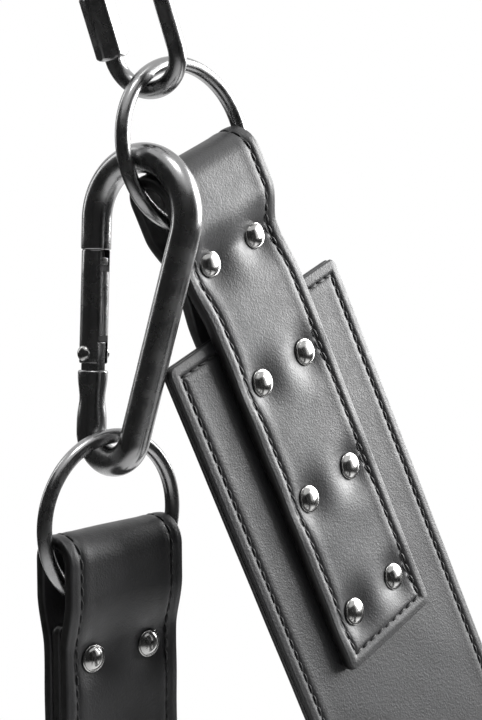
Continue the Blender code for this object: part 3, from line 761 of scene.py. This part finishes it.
def build_hook(name, side):
    """The snap hook's rod with its nose and tongue, the gate's pin, and the gate."""
    matrix = hook_frame(side)
    start, along, degrees = gate_line()
    points = [start + along * NOSE, start + along * (NOSE * 0.5)]
    points += arc_points((0, 0), HOOK_TOP_ARC, 180 + degrees, -degrees, 90)
    spine_top, spine_foot = points[-1], arc_points((0, -HOOK_CENTRES), HOOK_BOTTOM_ARC, -degrees, -180, 1)[0]
    points += [spine_top.lerp(spine_foot, share / 12) for share in range(1, 12)]
    points += arc_points((0, -HOOK_CENTRES), HOOK_BOTTOM_ARC, -degrees, -180 + degrees, 60)
    heel = start + along * HEEL
    arc_stop = points[-1]
    points += [arc_stop.lerp(heel, share / 10) for share in range(1, 11)]
    points, radii = rounded_ends(points, HOOK_ROD, 0.7 * MM)
    from_heel = np.array([(point - heel).length for point in points])
    radii = radii * (1 - NECK * np.exp(-(((from_heel - NECK_PLACE) / NECK_SPREAD) ** 2)))
    shell = Shell()
    tube(shell, matrix, points, radii, sides=56)
    tongue_start, tongue_stop = PIN - 3.9 * MM, HEEL + 2.5 * MM
    middle = gate_frame(side, (tongue_start + tongue_stop) / 2)
    block(shell, middle, (tongue_stop - tongue_start, 7.6 * MM, TONGUE), 0.5 * MM)
    block(shell, gate_frame(side, NOSE + 1.6 * MM), (6.6 * MM, 5.0 * MM, TONGUE - GAP), 0.4 * MM)
    block(shell, gate_frame(side, NOSE + 4.4 * MM), (2.6 * MM, 8.2 * MM, TONGUE - GAP), 0.5 * MM)
    replaced = [f"{name}_snap_hook"]
    shell.finish(f"{name}_snap_hook_body", f"{name}_hook", replaced, [STEEL], sharp=40)
    shell = Shell()
    head = GATE_RADIUS + 0.1 * MM
    profile = [(0, head + 1.3 * MM), (0.9 * MM, head + 1.22 * MM), (1.7 * MM, head + 0.95 * MM),
               (2.3 * MM, head + 0.5 * MM), (2.5 * MM, head + 0.1 * MM), (2.5 * MM, head - 0.6 * MM)]
    pin = gate_frame(side, PIN)
    for flip in (0, math.pi):
        lathe(shell, pin @ Matrix.Rotation(flip, 4, "X"), profile, sides=32)
    lathe(shell, pin, [(1.45 * MM, head), (1.45 * MM, -head)], sides=24)
    shell.finish(f"{name}_gate_pin_rivet", f"{name}_hook", [f"{name}_gate_pin"], [NICKEL])
    build_gate(name, side)


def build_gate(name, side):
    """The gate's tube, with a slot at each end: over the hook's nose, and over its tongue."""
    length, edge = GATE[1] - GATE[0], GATE_EDGE
    lie = Matrix.Rotation(math.pi / 2, 4, "Y")
    middle = gate_frame(side, (GATE[0] + GATE[1]) / 2) @ lie
    profile = [(0, length / 2), (GATE_RADIUS - edge, length / 2)]
    profile += [(GATE_RADIUS - edge * 0.3, length / 2 - edge * 0.3), (GATE_RADIUS, length / 2 - edge)]
    profile += [(GATE_RADIUS, length / 2 * share) for share in (0.6, 0.2, -0.2, -0.6)]
    profile += [(r, -z) for r, z in profile[3::-1]]
    shell = Shell()
    lathe(shell, Matrix(), profile, sides=72)
    mesh = bpy.data.meshes.new("gate_solid")
    mesh.from_pydata(np.concatenate(shell.verts).tolist(), [], shell.faces)
    solid = bpy.data.objects.new("gate_solid", mesh)
    cutters = []
    nose, heel = GATE_NOSE_SLOT, GATE[1] - PIN + GATE_HEEL_SLOT
    bottom, top = -length / 2, length / 2
    for start, stop, size in ((bottom - MM, bottom + nose, SLOT - GAP), (top - heel, top + MM, SLOT)):
        shape = bmesh.new()
        bmesh.ops.create_cube(shape, size=1, matrix=Matrix.Translation((0, 0, (start + stop) / 2))
                              @ Matrix.Diagonal((size, SLOT_CUT, stop - start, 1)))
        cutter_mesh = bpy.data.meshes.new("gate_slot")
        shape.to_mesh(cutter_mesh)
        shape.free()
        cutters.append(bpy.data.objects.new("gate_slot", cutter_mesh))
    for thing in [solid] + cutters:
        bpy.context.scene.collection.objects.link(thing)
    weld = bmesh.new()
    weld.from_mesh(mesh)
    bmesh.ops.remove_doubles(weld, verts=weld.verts, dist=0.001 * MM)
    bmesh.ops.recalc_face_normals(weld, faces=weld.faces)
    weld.to_mesh(mesh)
    weld.free()
    for cutter in cutters:
        modifier = solid.modifiers.new("slot", "BOOLEAN")
        modifier.object = cutter
        modifier.solver = "EXACT"
    result = bmesh.new()
    result.from_mesh(solid.evaluated_get(bpy.context.evaluated_depsgraph_get()).to_mesh())
    result.verts.index_update()
    gate = Shell()
    gate.add_mesh(result, middle)
    result.free()
    for thing in [solid] + cutters:
        bpy.data.objects.remove(thing)
    gate.finish(f"{name}_gate_sleeve", f"{name}_gate", [f"{name}_gate"], [STEEL], sharp=32)


def foot_belt_line():
    """Down from between the strap's legs, round a drop-shaped loop and up behind itself."""
    width, height = FOOT_LOOP
    behind = LEATHER + GAP
    top = -FOOT_BELT_TOP - 0.5 * MM
    line = [Vector((0, top + (-FOOT_JOIN - top) * share / 20)) for share in range(21)]
    steps = 160
    for index in range(1, steps):
        share = index / steps
        angle = 2 * math.pi * share
        out = FOOT_DROP * width * math.sin(angle) * math.sin(angle / 2) ** 2
        line.append(Vector((out - eased(0, behind, share), -FOOT_JOIN - height * (1 - math.cos(angle)) / 2)))
    line += [Vector((-behind, -FOOT_JOIN + FOOT_OVERLAP * share / 8)) for share in range(9)]
    return line


def build_foot_loop(name, side):
    """The lower ring, the strap that hangs on it, and the belt that makes the foot loop."""
    matrix = foot_frame(side)
    body = f"{name}_foot_loop"
    ring(f"{name}_lower_ring_wire", f"{name}_lower_ring", f"{name}_lower_ring",
         placed(matrix.translation, matrix.col[2].to_3d(), Vector((0, 0, 1))))
    spread = LEATHER + GAP
    line = fold_line([
        (POCKET_RADIUS, FOLD_BELOW + POCKET_RADIUS), (POCKET_RADIUS, POCKET_DEPTH), (spread, FOOT_PINCH),
        (spread, FOOT_STRAP_END),
    ])
    strip = Strip(matrix, line, STRAP_WIDTH, LEATHER)
    rows = [FOOT_FIRST_ROW + ROW_SPACING * index for index in range(3)]
    shell = Shell()
    leather_strip(shell, strip, 31 + side, centres=rivet_centres(strip, rows), faces=(0, 1))
    stitches(shell, strip, -1, 31 + side)
    shell.finish(f"{name}_foot_loop_strap_leather", body, [f"{name}_foot_loop_strap"],
                 [LEATHER_FACE, LEATHER_EDGE, THREAD_LOOK])
    strip = Strip(matrix, foot_belt_line(), STRAP_WIDTH - 0.6 * MM, LEATHER)
    join = FOOT_JOIN - FOOT_OVERLAP / 2
    shell = Shell()
    leather_strip(shell, strip, 41 + side, pitch=1.8 * MM, wave=0.08 * MM)
    stitches(shell, strip, -1, 41 + side, wave=0.08 * MM)
    stitches(shell, strip, 1, 41 + side, wave=0.08 * MM)
    shell.finish(f"{name}_foot_belt_leather", body, [f"{name}_foot_belt"],
                 [LEATHER_FACE, LEATHER_EDGE, THREAD_LOOK])
    places = [(place, spread + LEATHER / 2 - SINK) for place in rivet_matrices(matrix, rows)]
    places += [(place, LEATHER + GAP / 2) for place in rivet_matrices(matrix, [join], -(LEATHER + GAP) / 2)]
    replaced = [f"{name}_foot_rivet_{i + 1}" for i in range(6)]
    replaced += [f"{name}_join_rivet_{i + 1}" for i in range(2)]
    rivets(f"{name}_foot_rivets", body, replaced, places)


build_seat()
for side_name, side_sign in SIDES.items():
    build_link(side_name, side_sign)
    build_main_hanger(side_name, side_sign)
    build_hook(side_name, side_sign)
    build_foot_loop(side_name, side_sign)
    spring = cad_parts[f"{side_name}_gate_spring"]
    spring.data.materials.clear()
    spring.data.materials.append(NICKEL)


# ---------------------------------------------------------------- studio and camera

VIEW_AZIMUTH = math.radians(40)
VIEW_PITCH = math.radians(9.36)
VIEW_RIGHT = Vector((math.cos(VIEW_AZIMUTH), math.sin(VIEW_AZIMUTH), 0))
VIEW_AWAY = Vector((-math.sin(VIEW_AZIMUTH), math.cos(VIEW_AZIMUTH), 0))
UP = Vector((0, 0, 1))
SUBJECT = ring_centre(-1)


def seen_from(right, away, up):
    """A point given from the left ring's centre, in the camera's level directions."""
    return SUBJECT + VIEW_RIGHT * right + VIEW_AWAY * away + UP * up


def facing(place, target, roll_up=UP):
    """A frame whose -Z looks at the target."""
    back = (place - target).normalized()
    right = roll_up.cross(back).normalized()
    matrix = Matrix((right, back.cross(right), back)).transposed().to_4x4()
    matrix.translation = place
    return matrix


def add_camera():
    data = bpy.data.cameras.new("camera")
    data.lens = 100.75
    data.sensor_width = 36
    data.clip_start = 0.02
    camera = bpy.data.objects.new("camera", data)
    bpy.context.scene.collection.objects.link(camera)
    place = SUBJECT + Vector((0.4428, -0.4987, 0.0386))
    forward = VIEW_AWAY * math.cos(VIEW_PITCH) - UP * math.sin(VIEW_PITCH)
    camera.matrix_world = facing(place, place + forward)
    bpy.context.scene.camera = camera


def add_light(name, place, target, size, power):
    data = bpy.data.lights.new(name, "AREA")
    data.shape = "RECTANGLE"
    data.size, data.size_y = size
    data.energy = power
    light = bpy.data.objects.new(name, data)
    bpy.context.scene.collection.objects.link(light)
    light.matrix_world = facing(place, target)
    light.visible_camera = False


def add_card(name, place, target, size, shade):
    """A large matt card that keeps light off, which the camera doesn't see."""
    mesh = bpy.data.meshes.new(name)
    x, y = size[0] / 2, size[1] / 2
    mesh.from_pydata([(-x, -y, 0), (x, -y, 0), (x, y, 0), (-x, y, 0)], [], [(0, 1, 2, 3)])
    look = Look(name, (shade, shade, shade), 0.9, specular=0.1)
    mesh.materials.append(look.material)
    card = bpy.data.objects.new(name, mesh)
    bpy.context.scene.collection.objects.link(card)
    card.matrix_world = facing(place, target)
    card.visible_camera = False


def add_floor(height, radius):
    """A pale disc that fades out towards its rim."""
    shape = bmesh.new()
    bmesh.ops.create_circle(shape, cap_ends=True, segments=96, radius=radius)
    mesh = bpy.data.meshes.new("floor")
    shape.to_mesh(mesh)
    shape.free()
    look = Look("floor", (0.86, 0.86, 0.86), 0.8, specular=0.1)
    tree = look.tree
    distance = tree.nodes.new("ShaderNodeVectorMath")
    distance.operation = "LENGTH"
    tree.links.new(look.place, distance.inputs[0])
    look.vary("Alpha", look.mapped(distance.outputs["Value"], radius * 0.45, radius * 0.98, 1, 0))
    mesh.materials.append(look.material)
    floor = bpy.data.objects.new("floor", mesh)
    bpy.context.scene.collection.objects.link(floor)
    floor.location = (0, 0, height)


def set_world(strength):
    world = bpy.data.worlds.new("studio")
    bpy.context.scene.world = world
    world.use_nodes = True
    shader = world.node_tree.nodes["Background"]
    shader.inputs["Color"].default_value = (1, 1, 1, 1)
    shader.inputs["Strength"].default_value = strength


add_camera()
set_world(1.0)
add_floor(-0.74, 1.3)
strap_middle = seen_from(0.05, 0.03, -0.1)
add_light("softbox", seen_from(1.1, 0.55, 0.3), strap_middle, (0.9, 0.9), 36)
add_light("top", seen_from(0.1, -0.2, 1.2), strap_middle, (0.5, 0.35), 5)
add_light("edge", seen_from(-0.9, 0.5, 0.35), strap_middle, (0.25, 0.9), 2)
add_card("front_card", seen_from(0.0, -1.7, 0.0), strap_middle, (4.2, 3.4), 0.03)
add_card("left_card", seen_from(-1.6, -0.5, 0.0), strap_middle, (2.4, 3.4), 0.03)
add_card("left_back_card", seen_from(-1.5, 0.9, -0.3), strap_middle, (1.6, 2.6), 0.03)
add_card("right_card", seen_from(1.7, -0.2, -1.05), seen_from(0, -0.2, -1.05), (3.2, 1.7), 0.02)
add_card("right_front_card", seen_from(1.3, -0.95, 0.0), strap_middle, (1.5, 2.6), 0.02)
bpy.context.scene.view_settings.view_transform = "Standard"
